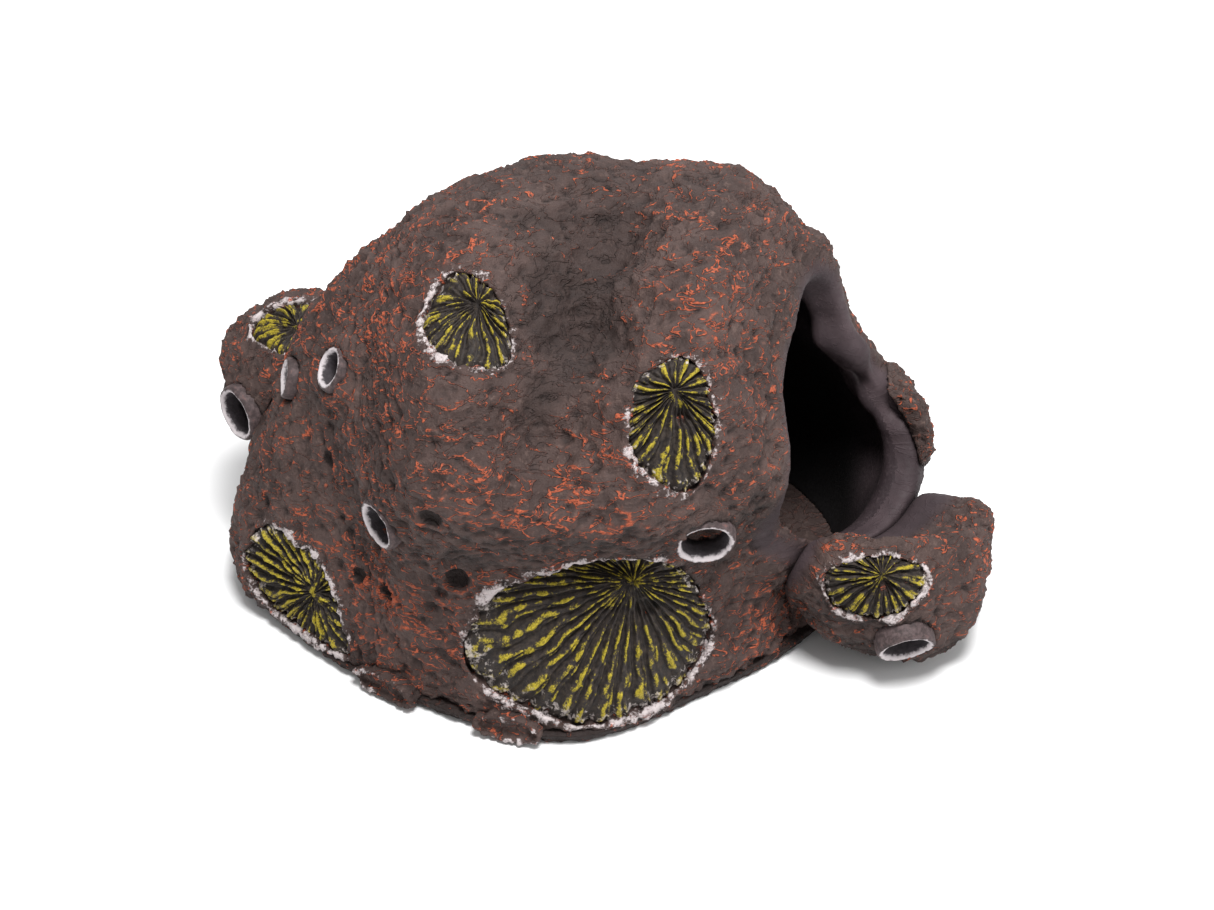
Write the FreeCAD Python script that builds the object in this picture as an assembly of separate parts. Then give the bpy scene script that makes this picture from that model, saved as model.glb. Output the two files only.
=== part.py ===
import FreeCAD, Part
import math
import os

# Resin cave ornament: a hollow lava-rock shell with one cave mouth on its right side.
# Millimetres, +Z up, the viewer stands on the -Y side, the cave mouth faces +X.

# ---------------------------------------------------------------- driving dimensions
SLAB_HEIGHT = 3.0        # closing plate under the shell
SHELL_WALL = 6.0         # rock shell, measured towards the rock centre
LINING_WALL = 4.0        # smooth cave lining inside the shell
POCKET_DEPTH = 3.4       # recess that takes a coral fan
FAN_DISH = 1.3           # fan face lies this far below the rock face
RIB_DISH = 0.4           # rib crests lie this far below the rock face
TUBE_WALL = 1.5          # wall of a tube collar
TUBE_SOCKET = 3.6        # depth of the socket that takes a tube collar
TUBE_PROUD = 1.6         # how far a tube collar stands out of the rock
FAN_FLOOR = 4.5          # no fan reaches lower than this
FAN_REACH = 14.0         # how far a fan's rock face may fall or rise from its middle
FAN_CLEAR = 14.0         # a fan pocket is cut clear of the rock by this much
ROCK_GRAIN = 0.12        # sharpness of the rock form, smaller is sharper
BOULDER_GRAIN = 0.3      # the same for the side boulders
ROCK_CENTRE = (-5.0, 0.0, 45.0)
ROCK_MESH = (64, 36)     # poles around the cave axis, and along it
CAVE_MESH = (48, 28)
BOULDER_MESH = (28, 18)
SOCKET_REACH = 16.0      # a tube socket is cut clear of the rock by this much
RIB_POLES = 4            # poles from one rib crest to the next
RIB_RINGS = 10           # rings of poles from a fan's hub to its rim
SLAB_FOOT = 0.985        # size of the slab's underside, as a share of the rock's foot
SLAB_TOP = 1.005         # size of its top
MOUTH_LEVELS = ((45.0, 1.22), (0.0, 1.0), (-34.0, 0.84))   # along the mouth axis, and size there
SHELL_HEIGHT = 3.6       # half height of an edge shell
SHELL_RIM = 1.3          # width of its raised edge
SHELL_START = -8.0       # its hidden end, from its centre
SHELL_LENGTH = 10.6
SHELL_DISH = 1.4         # depth of its hollow face
CAVE_AXIS = (0.943, -0.325, -0.068)   # from the left boulder out through the mouth
MOUTH_AXIS = (0.86, -0.30, 0.41)      # direction in which the mouth opens

# ---------------------------------------------------------------- plan of the rock form
# Contours of the rock shell: height, then points around it from the left by the front to the back.
FOOT = [(-88, -10), (-76, -26), (-62, -40), (-38, -56), (-5, -66), (22, -50), (38, -38), (54, -20),
        (66, 0), (64, 18), (50, 42), (24, 60), (-8, 66), (-42, 56), (-70, 34), (-86, 10)]
CONTOURS = {
    0: FOOT,
    14: [(-90, -12), (-78, -25), (-54, -44), (-36, -56), (-4, -64), (20, -52), (38, -34), (50, -22),
         (70, 8)],
    28: [(-86, -16), (-66, -32), (-42, -52), (-24, -60), (-2, -61), (20, -52), (30, -42), (42, -36),
         (62, -22), (77, 2), (68, 24), (46, 48), (22, 62), (-8, 69), (-40, 60), (-72, 36), (-84, 8)],
    42: [(-79, -16), (-60, -32), (-46, -49), (-24, -57), (-2, -55), (16, -54), (32, -44), (48, -34),
         (60, -20), (67, -2), (73, 11), (62, 29), (44, 46), (20, 58), (-10, 64), (-40, 56), (-66, 36),
         (-80, 8)],
    50: [(-28, -60), (-10, -60)],
    58: [(-72, -14), (-62, -28), (-51, -51), (-34, -65), (-16, -68), (2, -66), (22, -58), (34, -50),
         (41, -42), (49, -30), (55, -14), (58, 0), (61, 13), (54, 25), (40, 40), (18, 53), (-12, 58),
         (-44, 47), (-63, 26)],
    72: [(-69, -8), (-60, -24), (-50, -46), (-36, -63), (-25, -61), (-14, -51), (8, -62), (24, -56),
         (32, -47), (39, -29), (46, -18), (51, -2), (56, 12), (44, 33), (14, 50), (-22, 50), (-48, 32)],
    84: [(-60, -1), (-56, -16), (-49, -36), (-34, -56), (-21, -51), (-5, -28), (9, -56), (20, -52),
         (31, -37), (40, -18), (46, -4), (52, 7), (36, 26), (12, 40), (-22, 40), (-46, 22)],
    94: [(-47, 5), (-47, -16), (-41, -33), (-30, -44), (-14, -28), (0, -11), (13, -43), (31, -24),
         (39, -6), (43, 10), (20, 28), (-6, 33), (-30, 24)],
    102: [(-34, 8), (-30, -24), (-13, -8), (4, 4), (8, 20), (17, -24), (31, -6), (34, 13)],
    105: [(-20, 8), (-22, -6), (-4, 14), (22, -8), (28, 12)],
}
UNDERSIDE = [(-5, 0, -20), (-55, 0, -16), (45, 0, -16), (-5, -42, -16), (-5, 45, -16)]

# Side boulders: a centre, and contours drawn the same way.
LEFT_BOULDER_CENTRE = (-74, 22, 48)
LEFT_BOULDER = {
    30: [(-73, 20)],
    36: [(-85, 7), (-88, 26), (-74, 38)],
    46: [(-76, -2), (-89, 8), (-93, 22), (-82, 40), (-67, 38), (-50, 20)],
    56: [(-78, 4), (-88, 18), (-80, 34)],
    63: [(-71, 24)],
}
LIP_BOULDER_CENTRE = (68, -24, 20)
LIP_BOULDER = {
    5: [(54, -31), (69, -41), (80, -36), (72, -20)],
    12: [(44, -36), (86, -31), (78, 0)],
    21: [(43, -40), (60, -48), (77, -44), (90, -20), (88, -6), (50, -10)],
    29: [(61, -50), (74, -44), (89, -14), (72, -18)],
    36: [(47, -40), (60, -45), (72, -30)],
}
RIM_BOULDER_CENTRE = (67, 11, 40)
RIM_BOULDER = {
    28: [(67, -3), (77, 5), (72, 14)],
    36: [(60, 0), (76, 12), (71, 20), (60, 20)],
    44: [(58, 6), (73, 12), (64, 22)],
    51: [(62, 12)],
}

# Inner edge of the cave mouth, from its top down the near side and back up the far side.
MOUTH_OUTLINE = [(48, -4, 84), (40, -18, 77), (39, -34, 66), (44, -44, 51), (60, -37, 37), (74, -18, 28),
                 (67, 0, 30), (60, 6, 46), (54, 5, 64)]

# fan name: (boulder, centre on the rock, half width, half height, turn, hub x, hub y, ribs)
FANS = {
    "fan_big_front": ("rock", (-2, -61, 25), 28.0, 21.5, 0.0, 5.0, 11.0, 25),
    "fan_dome": ("rock", (-30, -38, 96), 9.0, 12.5, 22.0, 1.5, 2.5, 15),
    "fan_right_front": ("rock", (15, -56, 80), 9.5, 14.5, -10.0, 0.5, 5.0, 17),
    "fan_left_low": ("rock", (-74, -30, 13), 19.0, 13.0, -38.0, 4.0, 3.0, 19),
    "fan_right_side": ("rock", (74, 16, 20), 11.0, 9.0, 0.0, 0.0, 2.0, 13),
    "fan_back_left": ("rock", (-34, 58, 36), 17.0, 13.5, 15.0, 2.0, 4.0, 19),
    "fan_back_high": ("rock", (12, 44, 80), 10.0, 12.0, -20.0, 0.0, 3.0, 15),
    "fan_left_boulder": ("left", (-76, 14, 62), 9.0, 8.0, 20.0, 3.0, 1.0, 13),
    "fan_lip": ("lip", (60, -48, 30), 11.5, 7.5, 8.0, 1.0, 2.5, 15),
}
# collar name: (boulder, centre on the rock, direction it faces, outer diameter)
COLLARS = {
    "collar_dome_left": ("rock", (-60, -22, 72), (-0.80, -0.32, 0.50), 10.5),
    "collar_left_edge": ("rock", (-72, -10, 62), (-0.95, -0.15, 0.25), 9.5),
    "collar_band": ("rock", (-50, -50, 50), (-0.78, -0.60, -0.10), 12.0),
    "collar_brow": ("rock", (22, -57, 50), (0.12, -0.96, -0.26), 13.5),
    "collar_back_left": ("rock", (-66, 32, 24), (-0.75, 0.65, 0.10), 12.0),
    "collar_back_right": ("rock", (34, 52, 40), (0.35, 0.90, 0.20), 13.0),
    "collar_left_boulder": ("left", (-86, 6, 43), (-0.76, -0.65, 0.0), 13.5),
    "collar_lip": ("lip", (68, -44, 14), (0.18, -0.83, -0.52), 14.0),
}
# shell name: (centre, direction it faces, half length)
EDGE_SHELLS = {
    "edge_shell_left": ((-50, -49, 4), (-0.62, -0.78, 0.0), 9.0),
    "edge_shell_front": ((-22, -63.5, 4), (-0.30, -0.95, 0.0), 8.0),
}


# ---------------------------------------------------------------- vector helpers
def unit(v):
    length = math.sqrt(sum(c * c for c in v))
    return tuple(c / length for c in v)


def cross(a, b):
    return (a[1] * b[2] - a[2] * b[1], a[2] * b[0] - a[0] * b[2], a[0] * b[1] - a[1] * b[0])


def dot(a, b):
    return a[0] * b[0] + a[1] * b[1] + a[2] * b[2]


def add(a, b, scale=1.0):
    return (a[0] + scale * b[0], a[1] + scale * b[1], a[2] + scale * b[2])


def landmarks(contours):
    """Surface points of a form from its contours."""
    return [(x, y, z) for z, ring in contours.items() for x, y in ring]


def solve(matrix, right_side):
    """Gaussian elimination with row exchange."""
    n = len(right_side)
    m = [row[:] + [v] for row, v in zip(matrix, right_side)]
    for i in range(n):
        best = max(range(i, n), key=lambda k: abs(m[k][i]))
        m[i], m[best] = m[best], m[i]
        for k in range(i + 1, n):
            f = m[k][i] / m[i][i]
            if f:
                for j in range(i, n + 1):
                    m[k][j] -= f * m[i][j]
    x = [0.0] * n
    for i in reversed(range(n)):
        x[i] = (m[i][n] - sum(m[i][j] * x[j] for j in range(i + 1, n))) / m[i][i]
    return x


# ---------------------------------------------------------------- boulder forms
class Boulder:
    """A rounded form around a centre that passes through its landmarks."""

    def __init__(self, centre, landmarks, grain, axis):
        self.centre = centre
        self.grain = grain
        self.axis = unit(axis)
        offsets = [add(p, centre, -1.0) for p in landmarks]
        self.ways = [unit(o) for o in offsets]
        radii = [math.sqrt(dot(o, o)) for o in offsets]
        rows = [[self.kernel(a, b) for b in self.ways] + [1.0] for a in self.ways]
        rows.append([1.0] * len(self.ways) + [0.0])
        self.weights = solve(rows, radii + [0.0])

    def kernel(self, a, b):
        d = add(a, b, -1.0)
        return math.sqrt(dot(d, d) + self.grain ** 2)

    def radius(self, way):
        return self.weights[-1] + sum(w * self.kernel(way, q) for w, q in zip(self.weights, self.ways))

    def point(self, way, inset=0.0):
        return add(self.centre, way, self.radius(way) - inset)

    def frame(self, near):
        """Surface point in the direction of near, with right, up and outward directions."""
        way = unit(add(near, self.centre, -1.0))
        side = unit(cross((0.0, 0.0, 1.0), way))
        top = cross(way, side)
        step = 0.06
        a = self.point(unit(add(way, side, step)))
        b = self.point(unit(add(way, side, -step)))
        c = self.point(unit(add(way, top, step)))
        d = self.point(unit(add(way, top, -step)))
        out = unit(cross(add(a, b, -1.0), add(c, d, -1.0)))
        right = unit(cross((0.0, 0.0, 1.0), out))
        return self.point(way), right, cross(out, right), out

    def height(self, frame, x, y):
        """Distance of the surface along the outward direction, over x right and y up."""
        foot = add(add(frame[0], frame[1], x), frame[2], y)
        low, high = -FAN_REACH, FAN_REACH
        for _ in range(18):
            middle = 0.5 * (low + high)
            offset = add(add(foot, frame[3], middle), self.centre, -1.0)
            if math.sqrt(dot(offset, offset)) < self.radius(unit(offset)):
                low = middle
            else:
                high = middle
        return low

    def solid(self, inset, around, along):
        """Closed B-spline solid, periodic around the axis, inset towards the centre."""
        e1 = unit(cross(self.axis, (0.0, 0.0, 1.0)))
        e2 = cross(self.axis, e1)
        rows = []
        for j in range(along + 1):
            polar = math.pi * j / along
            row = []
            for i in range(around):
                turn = 2.0 * math.pi * i / around
                way = tuple(math.cos(polar) * self.axis[k]
                            + math.sin(polar) * (math.cos(turn) * e1[k] + math.sin(turn) * e2[k])
                            for k in range(3))
                row.append(FreeCAD.Vector(*self.point(unit(way), inset)))
            rows.append(row)
        return solid_of([wrapped(rows)])


def wrapped(rows, degree=3):
    """B-spline face from rings of poles, closed around, from the first ring to the last."""
    around = len(rows[0])
    rings = len(rows)
    poles = [[rows[j][i] for j in range(rings)] for i in range(around)]
    knots = [float(j) for j in range(rings - degree + 1)]
    mults = [degree + 1] + [1] * (rings - degree - 1) + [degree + 1]
    surface = Part.BSplineSurface()
    surface.buildFromPolesMultsKnots(poles, [1] * (around + 1), mults,
                                     [float(i) for i in range(around + 1)], knots,
                                     True, False, 3, degree)
    return surface.toShape()


def solid_of(faces):
    """Sew closed faces into an outward-facing solid."""
    shell = Part.makeShell(faces)
    if len(faces) > 1:
        shell.sewShape()
    body = Part.makeSolid(shell.Shells[0] if shell.Shells else shell)
    if body.Volume < 0.0:
        body.reverse()
    return body


def drum(lower, upper):
    """Solid between two sheets of rings that lie one above the other."""
    wall = wrapped([lower[-1], upper[-1]], 1)
    return solid_of([wrapped(lower), wall, wrapped(upper)])


def largest(shape):
    """Keep the main lump after a cut."""
    return max(shape.Solids, key=lambda s: s.Volume)


def half_space(level):
    """Everything below the level."""
    return Part.makeBox(400, 400, 100, FreeCAD.Vector(-200, -200, level - 100))


def closed_wire(points):
    curve = Part.BSplineCurve()
    curve.interpolate(Points=[FreeCAD.Vector(*p) for p in points], PeriodicFlag=True)
    return Part.Wire([curve.toShape()])


# ---------------------------------------------------------------- features
def placed(frame, x, y, z):
    """Point at x right, y up, z outward in a surface frame."""
    origin, right, up, out = frame
    return add(add(add(origin, right, x), up, y), out, z)


def oval(half_width, half_height, turn, angle):
    """Point of a slightly wavy oval, as x right and y up."""
    wave = 1.0 + 0.05 * math.cos(3.0 * angle + half_width) + 0.03 * math.sin(5.0 * angle + half_height)
    x = half_width * wave * math.cos(angle)
    y = half_height * wave * math.sin(angle)
    tilt = math.radians(turn)
    return x * math.cos(tilt) - y * math.sin(tilt), x * math.sin(tilt) + y * math.cos(tilt)


def oval_wire(frame, half_width, half_height, level):
    points = []
    count = 12
    for i in range(count):
        x, y = oval(half_width, half_height, 0.0, 2.0 * math.pi * i / count)
        points.append(placed(frame, x, y, level))
    return closed_wire(points)


def fan_and_pocket(form, near, half_width, half_height, turn, hub_x, hub_y, ribs):
    """Ribbed fan that follows the rock face, and the pocket that takes it."""
    frame = form.frame(near)
    out = FreeCAD.Vector(*frame[3])
    rim = []
    for i in range(ribs * RIB_POLES):
        x, y = oval(half_width, half_height, turn, 2.0 * math.pi * i / (ribs * RIB_POLES))
        while placed(frame, x, y, form.height(frame, x, y))[2] < FAN_FLOOR:
            x, y = hub_x + 0.97 * (x - hub_x), hub_y + 0.97 * (y - hub_y)
        rim.append((x, y))
    face, floor = [], []
    for j in range(RIB_RINGS + 1):
        share = j / RIB_RINGS
        face_ring, floor_ring = [], []
        for i, (rim_x, rim_y) in enumerate(rim):
            x = hub_x + share * (rim_x - hub_x)
            y = hub_y + share * (rim_y - hub_y)
            base = FreeCAD.Vector(*placed(frame, x, y, form.height(frame, x, y)))
            crest = 1.0 if i % RIB_POLES == 0 else 0.0
            relief = min(1.0, 3.0 * share) * (1.0 if j < RIB_RINGS else 0.5)
            sink = FAN_DISH - relief * (FAN_DISH - RIB_DISH) * (2.0 * crest - 0.5)
            face_ring.append(base - out * sink)
            floor_ring.append(base - out * POCKET_DEPTH)
        face.append(face_ring)
        floor.append(floor_ring)
    above = [[p + out * FAN_CLEAR for p in ring] for ring in floor]
    return drum(floor, face), drum(floor, above)


def tube(base, direction, outer, wall, low, high):
    """Ring from low to high along the direction, measured from base."""
    way = FreeCAD.Vector(*unit(direction))
    start = FreeCAD.Vector(*base) + way * low
    body = Part.makeCylinder(outer / 2.0, high - low, start, way)
    return body.cut(Part.makeCylinder(outer / 2.0 - wall, high - low, start, way))


def mouth_tool():
    """Flared plug that opens the cave: wide outside, narrower inside."""
    way = unit(MOUTH_AXIS)
    middle = tuple(sum(p[k] for p in MOUTH_OUTLINE) / len(MOUTH_OUTLINE) for k in range(3))
    rings = []
    for level, grow in MOUTH_LEVELS:
        ring = []
        for p in MOUTH_OUTLINE:
            offset = add(p, middle, -1.0)
            flat = add(offset, way, -dot(offset, way))
            ring.append(add(add(middle, flat, grow), way, level))
        rings.append(closed_wire(ring))
    return Part.makeLoft(rings, True, False)


def slab():
    low = closed_wire([(x * SLAB_FOOT, y * SLAB_FOOT, 0.0) for x, y in FOOT])
    high = closed_wire([(x * SLAB_TOP, y * SLAB_TOP, SLAB_HEIGHT) for x, y in FOOT])
    return Part.makeLoft([low, high], True, True)


def edge_shell(centre, direction, half_length):
    """Flat oval shell that leans on the foot of the rock, hollowed on its face."""
    out = unit(direction)
    right = unit(cross((0.0, 0.0, 1.0), out))
    frame = (centre, right, (0.0, 0.0, 1.0), out)
    face = SHELL_START + SHELL_LENGTH
    rim = oval_wire(frame, half_length, SHELL_HEIGHT, SHELL_START)
    dish = oval_wire(frame, half_length - SHELL_RIM, SHELL_HEIGHT - SHELL_RIM, face - SHELL_DISH)
    body = Part.Face(rim).extrude(FreeCAD.Vector(*out) * SHELL_LENGTH)
    return body.cut(Part.Face(dish).extrude(FreeCAD.Vector(*out) * SHELL_LENGTH))


# ---------------------------------------------------------------- build
rock = Boulder(ROCK_CENTRE, landmarks(CONTOURS) + UNDERSIDE, ROCK_GRAIN, CAVE_AXIS)
left = Boulder(LEFT_BOULDER_CENTRE, landmarks(LEFT_BOULDER), BOULDER_GRAIN, (1.0, -0.2, 0.0))
lip = Boulder(LIP_BOULDER_CENTRE, landmarks(LIP_BOULDER), BOULDER_GRAIN, (-1.0, 0.5, 0.0))
rim = Boulder(RIM_BOULDER_CENTRE, landmarks(RIM_BOULDER), BOULDER_GRAIN, (-1.0, -0.4, -0.2))
FORMS = {"rock": rock, "left": left, "lip": lip}

rock_full = rock.solid(0.0, *ROCK_MESH)
cave_outer = rock.solid(SHELL_WALL, *CAVE_MESH)
cave_inner = rock.solid(SHELL_WALL + LINING_WALL, *CAVE_MESH)
mouth = mouth_tool()
below_slab = half_space(SLAB_HEIGHT)

pieces = {}
recesses = {k: [] for k in FORMS}
for name, (where, *shape) in FANS.items():
    fan, pocket = fan_and_pocket(FORMS[where], *shape)
    recesses[where].append(pocket)
    pieces[name] = fan if where == "rock" else largest(fan.cut(rock_full))

sockets = []
for name, (where, near, faces, outer) in COLLARS.items():
    base = FORMS[where].frame(near)[0]
    pieces[name] = tube(base, faces, outer, TUBE_WALL, -TUBE_SOCKET, TUBE_PROUD)
    way = FreeCAD.Vector(*unit(faces))
    start = FreeCAD.Vector(*base) - way * TUBE_SOCKET
    socket = Part.makeCylinder(outer / 2.0, SOCKET_REACH, start, way)
    sockets.append(socket)
    if where != "rock":
        recesses[where].append(socket)

pieces["base_slab"] = slab()
pieces["rock_body"] = largest(
    rock_full.cut([cave_outer, mouth, below_slab] + recesses["rock"] + sockets))
pieces["cave_lining"] = largest(cave_outer.cut([cave_inner, mouth, below_slab] + sockets))
pieces["left_boulder"] = largest(left.solid(0.0, *BOULDER_MESH).cut([rock_full] + recesses["left"]))
pieces["lip_boulder"] = largest(
    lip.solid(0.0, *BOULDER_MESH).cut([rock_full, mouth, below_slab] + recesses["lip"]))
pieces["rim_boulder"] = largest(rim.solid(0.0, *BOULDER_MESH).cut([rock_full, mouth]))
for name, (centre, faces, half_length) in EDGE_SHELLS.items():
    body = edge_shell(centre, faces, half_length)
    pieces[name] = largest(body.cut([rock_full, pieces["base_slab"], half_space(0.0)]))

# ---------------------------------------------------------------- centre on the foot and write
whole = Part.makeCompound(list(pieces.values()))
box = whole.optimalBoundingBox(False)
shift = FreeCAD.Vector(-(box.XMin + box.XMax) / 2.0, -(box.YMin + box.YMax) / 2.0, -box.ZMin)
print("shift", round(shift.x, 3), round(shift.y, 3), round(shift.z, 3))
os.makedirs("parts", exist_ok=True)
for name, shape in pieces.items():
    placed_shape = shape.copy()
    placed_shape.translate(shift)
    print(name, placed_shape.isValid(), len(placed_shape.Solids), round(placed_shape.Volume, 1))
    placed_shape.exportStep("parts/" + name + ".step")
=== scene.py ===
import math

import bmesh
import bpy
import numpy as np
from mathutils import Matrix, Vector, noise
from mathutils.bvhtree import BVHTree
from mathutils.kdtree import KDTree


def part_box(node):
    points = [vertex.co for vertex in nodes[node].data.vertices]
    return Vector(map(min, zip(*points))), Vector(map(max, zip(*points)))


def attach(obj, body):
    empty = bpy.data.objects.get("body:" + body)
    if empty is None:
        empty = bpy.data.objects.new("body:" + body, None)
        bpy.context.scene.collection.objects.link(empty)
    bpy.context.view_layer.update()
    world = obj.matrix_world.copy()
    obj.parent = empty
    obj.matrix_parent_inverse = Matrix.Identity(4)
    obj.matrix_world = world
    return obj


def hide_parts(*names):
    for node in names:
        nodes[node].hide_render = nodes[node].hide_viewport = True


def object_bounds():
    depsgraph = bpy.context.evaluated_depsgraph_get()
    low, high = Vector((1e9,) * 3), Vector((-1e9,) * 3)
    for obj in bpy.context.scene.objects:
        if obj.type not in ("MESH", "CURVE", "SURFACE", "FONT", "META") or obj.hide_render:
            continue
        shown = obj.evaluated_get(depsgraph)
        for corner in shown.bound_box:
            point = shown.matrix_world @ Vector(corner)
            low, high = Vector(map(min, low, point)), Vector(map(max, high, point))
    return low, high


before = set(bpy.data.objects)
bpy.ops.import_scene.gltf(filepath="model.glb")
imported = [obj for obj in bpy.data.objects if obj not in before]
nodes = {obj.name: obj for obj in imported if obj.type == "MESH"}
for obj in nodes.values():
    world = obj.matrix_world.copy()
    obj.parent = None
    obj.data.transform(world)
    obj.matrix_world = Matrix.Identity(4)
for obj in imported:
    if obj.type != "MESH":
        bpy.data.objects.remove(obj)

cad_low, cad_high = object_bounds()

# Shapes are worked out in millimetres in the row frame and written in metres.
MM = 0.001
ROCK_CENTRE = np.array([-4.0, -1.4, 45.0])
ROCK_VOXEL = 0.76
BOULDER_VOXEL = 0.7
SHELL_VOXEL = 0.5
LIP_NARROW = 6.4         # smooth band along the cave edge, on the near side
LIP_WIDE = 9.5           # and on the far and lower side
# How wide that band is on each boulder, as a share of its width on the shell.
LIP_SHARE = {"rim_boulder": 0.35, "left_boulder": 0.01, "lip_boulder": 1.7}
LOBE_RISE = 5.0          # uneven far rim of the cave: strength of its lobes
LOBE_CELL = 10.0         # and their size
LOBE_NONE = -3.0         # no lobes up to this height, counted from the top of lip_boulder,
LOBE_FULL = 6.0          # and full ones from this height
FAR_START = 6.0          # the far side begins this far in from the left end of the cave edge,
FAR_FULL = 8.0           # and is reached this far short of its right end
LIP_FULL = 0.75          # the band is smooth out to this share of its width,
LIP_END = 1.3            # and ends at this one
LIP_ROUNDS = 40          # rounds of smoothing on the band
LIP_EASE = 0.55          # and the strength of each
LIP_CALM = 0.93          # share of the relief that the band loses

# Cave edge and the split of shell and lining
EDGE_OVER_FOOT = 8.0     # the edge is looked for more than this far above the base slab,
EDGE_RIGHT = 30.0        # to the right of the middle of the rock,
EDGE_CLEAR = 12.0        # and from the middle of any tube
EDGE_EVEN = 0.45         # on the edge, shell and lining are equally far to within this
SKIN_FADE = 1.0          # the relief fades out over this difference of the two distances, either way
CAVE_SHADE_START = 4.0         # painted shade on the lining starts this far inside the edge,
CAVE_SHADE_END = 26.0          # and is darkest from here
TOUCHING = 0.4           # a boulder stays plain up to this far from the shell
FREE = 1.6               # and has its full relief from here

# Stone relief: sizes of cells and rises, in millimetres where a comment doesn't say otherwise.
LUMP_CELL = 13.0
LUMP_RISE = 1.35
BEND_CELL = 6.0          # wrinkles wander with this pattern
BEND_REACH = 2.4
ACROSS = (0.62, 0.8, 1.8)            # squeeze by axis, so that wrinkles run across the dome
DOWN = (1.5, 1.5, 0.6)               # and down the left flank
FLANK_START = -44.0
FLANK_END = -58.0
WRINKLE_CELL = 5.4
WRINKLE_RISE = 0.7
RIDGE_WIDTH = 0.085      # share of the wrinkle pattern that stands up as a sharp ridge
RIDGE_RISE = 0.50
FINE_CELL = 2.9
FINE_WIDTH = 0.11        # and the same for the finer wrinkles
FINE_RISE = 0.32
RUBBLE_CELL = 2.3
RUBBLE_RISE = 0.38
DIMPLE_CELL = 4.4
DIMPLE_DEPTH = 0.65
CRUMB_CELL = 1.4
PATCH_CELL = 6.0
PIT_SCALE = 1.35         # a pit's depth is its table depth times this
PIT_FLOOR = 0.5          # a pit is flat out to this share of its radius,
PIT_TOP = 1.1            # and its wall ends at this one
PIT_CALM = 0.85          # share of the relief that a pit loses
PIT_RING = 1.15          # middle of the raised ring around a pit, in radii
PIT_RING_WIDTH = 0.2
PIT_RING_RISE = 0.3
RIM_START = 0.6          # crumbly rim around a fan: in full up to here from the outline,
RIM_END = 3.0            # ending about here,
RIM_WANDER = 1.6         # more or less by this much, with the patches and the crumbs
RIM_RISE = 0.35
RIM_CALM = 0.5           # share of the relief that the rim loses
COLLAR_MOUND = 0.9       # stone raised around each tube, by distance from its axis:
TUBE_REACH = 5.5         # from here,
MOUND_FULL = 7.0         # in full to here
MOUND_END = 10.5         # and fading out to here
MOUND_NEAR = 14.0        # points farther than this from the middle of the tube are left out

# Paint of the stone: how much each feature adds to what the material reads.
CREST_HEIGHT = 0.70      # crest: standing proud,
CREST_LINE = 0.50        # and the line of a wrinkle
SHADE_IN_HOLLOWS = 1.3       # painted shade: lying low,
SHADE_FACING_DOWN = 0.55      # facing down,
SHADE_IN_PITS = 0.75        # and being in a pit
BRUSH_LUMP = 0.10        # brush and painted shade, orange above zero and darker stone below it: broad lumps,
BRUSH_PATCH = 0.12       # patches,
BRUSH_RING = 0.30        # the ring around a pit,
BRUSH_AND_SHADE_UNDER = -0.30      # less orange and more painted shade where it faces down,
BRUSH_AND_SHADE_PIT = -0.5         # and in a pit
CHALK_RIM = 0.72         # chalk: the rim of a fan,
CHALK_CRUMB = 0.6        # changed by crumbs,
CHALK_PATCH = 0.35       # and by patches

# Edge shells at the foot
SHELL_CELL = 1.8
SHELL_ROUGH = 0.75       # roughness in millimetres
SHELL_CHALK = 0.62

# Fans
FACE_SHARE = 0.985       # a face stops just inside the outline of its CAD node
FAN_BACK = 2.4           # depth of the closed back below the sheet
FAN_SINK = 1.7           # depth of the grooves below the sheet
RIB_RISE = 2.0           # rise of the ribs from the grooves
RIM_FALL = 0.9           # how far the edge turns down
CHIP_CELL = 1.7
CHIP_RISE = 0.30
SWAY_CELL = 7.0          # ribs wander with this pattern,
SWAY = 3.2               # by this many radians, with 2 pi from one rib to the next
KNOB_CELL = 2.1          # knots on the hub
KNOB_SHARE = 0.22        # how far out the knots reach, as a share of the way to the rim,
HUB_SHARE = 0.36         # and how far the rise of the hub does
RIM_TURN = 0.88          # the edge turns down from this share of the way out
WHITE_EDGE = 0.78        # and is chalked from this one
EYE_DEPTH = 1.8
STEPS_PER_RIB = 12
RING_STEP = 0.5
FEWEST_RINGS = 22
EYED_FANS = ("fan_big_front", "fan_lip", "fan_right_front")      # with a small hole below the hub

# Base slab
SLAB_AROUND = 640        # steps around
SLAB_SLOTS = 160         # steps in which the outline of the CAD node is read
SLAB_ROUGH = 0.55        # roughness of the wall, in millimetres
SLAB_UNDER = 0.3         # and of the underside
SLAB_FOOT_EDGE = 0.25    # the wall starts this far above the underside,
SLAB_BEND = 0.9          # turns this far above the underside and below the top,
SLAB_TOP_EDGE = 0.3      # and ends this far below the top

# Collars
COLLAR_AROUND = 84       # steps around
COLLAR_LIP = 0.25        # rise of the lip over the CAD node

# Brushed and shaded areas: a node, millimetres right, back and up from its middle, reach, more (+) orange or
# less orange with painted shade (-).
BRUSH_AND_SHADE = [("fan_dome", (-15, 8, -8), 20, 0.26), ("fan_right_front", (2, 20, 20), 16, 0.26),
         ("fan_right_front", (-13, 0, -6), 13, 0.26), ("fan_big_front", (-12, -8, 33), 17, 0.26),
         ("fan_big_front", (8, -6, 32), 13, 0.22), ("fan_right_front", (18, 14, 2), 15, 0.14),
         ("collar_band", (4, -6, 8), 15, 0.10), ("collar_band", (0, 2, -26), 16, 0.24),
         ("collar_brow", (18, 16, -36), 18, 0.22), ("collar_lip", (12, 8, 8), 12, 0.12),
         ("fan_back_left", (26, 6, 12), 18, 0.14), ("fan_back_high", (-22, 2, 4), 16, 0.16),
         ("fan_right_front", (-20, 26, 8), 17, -0.60), ("fan_right_front", (-26, 6, -6), 13, -0.40),
         ("fan_dome", (24, 34, 6), 20, -0.22), ("collar_brow", (4, 6, 10), 11, -0.12)]
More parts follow.
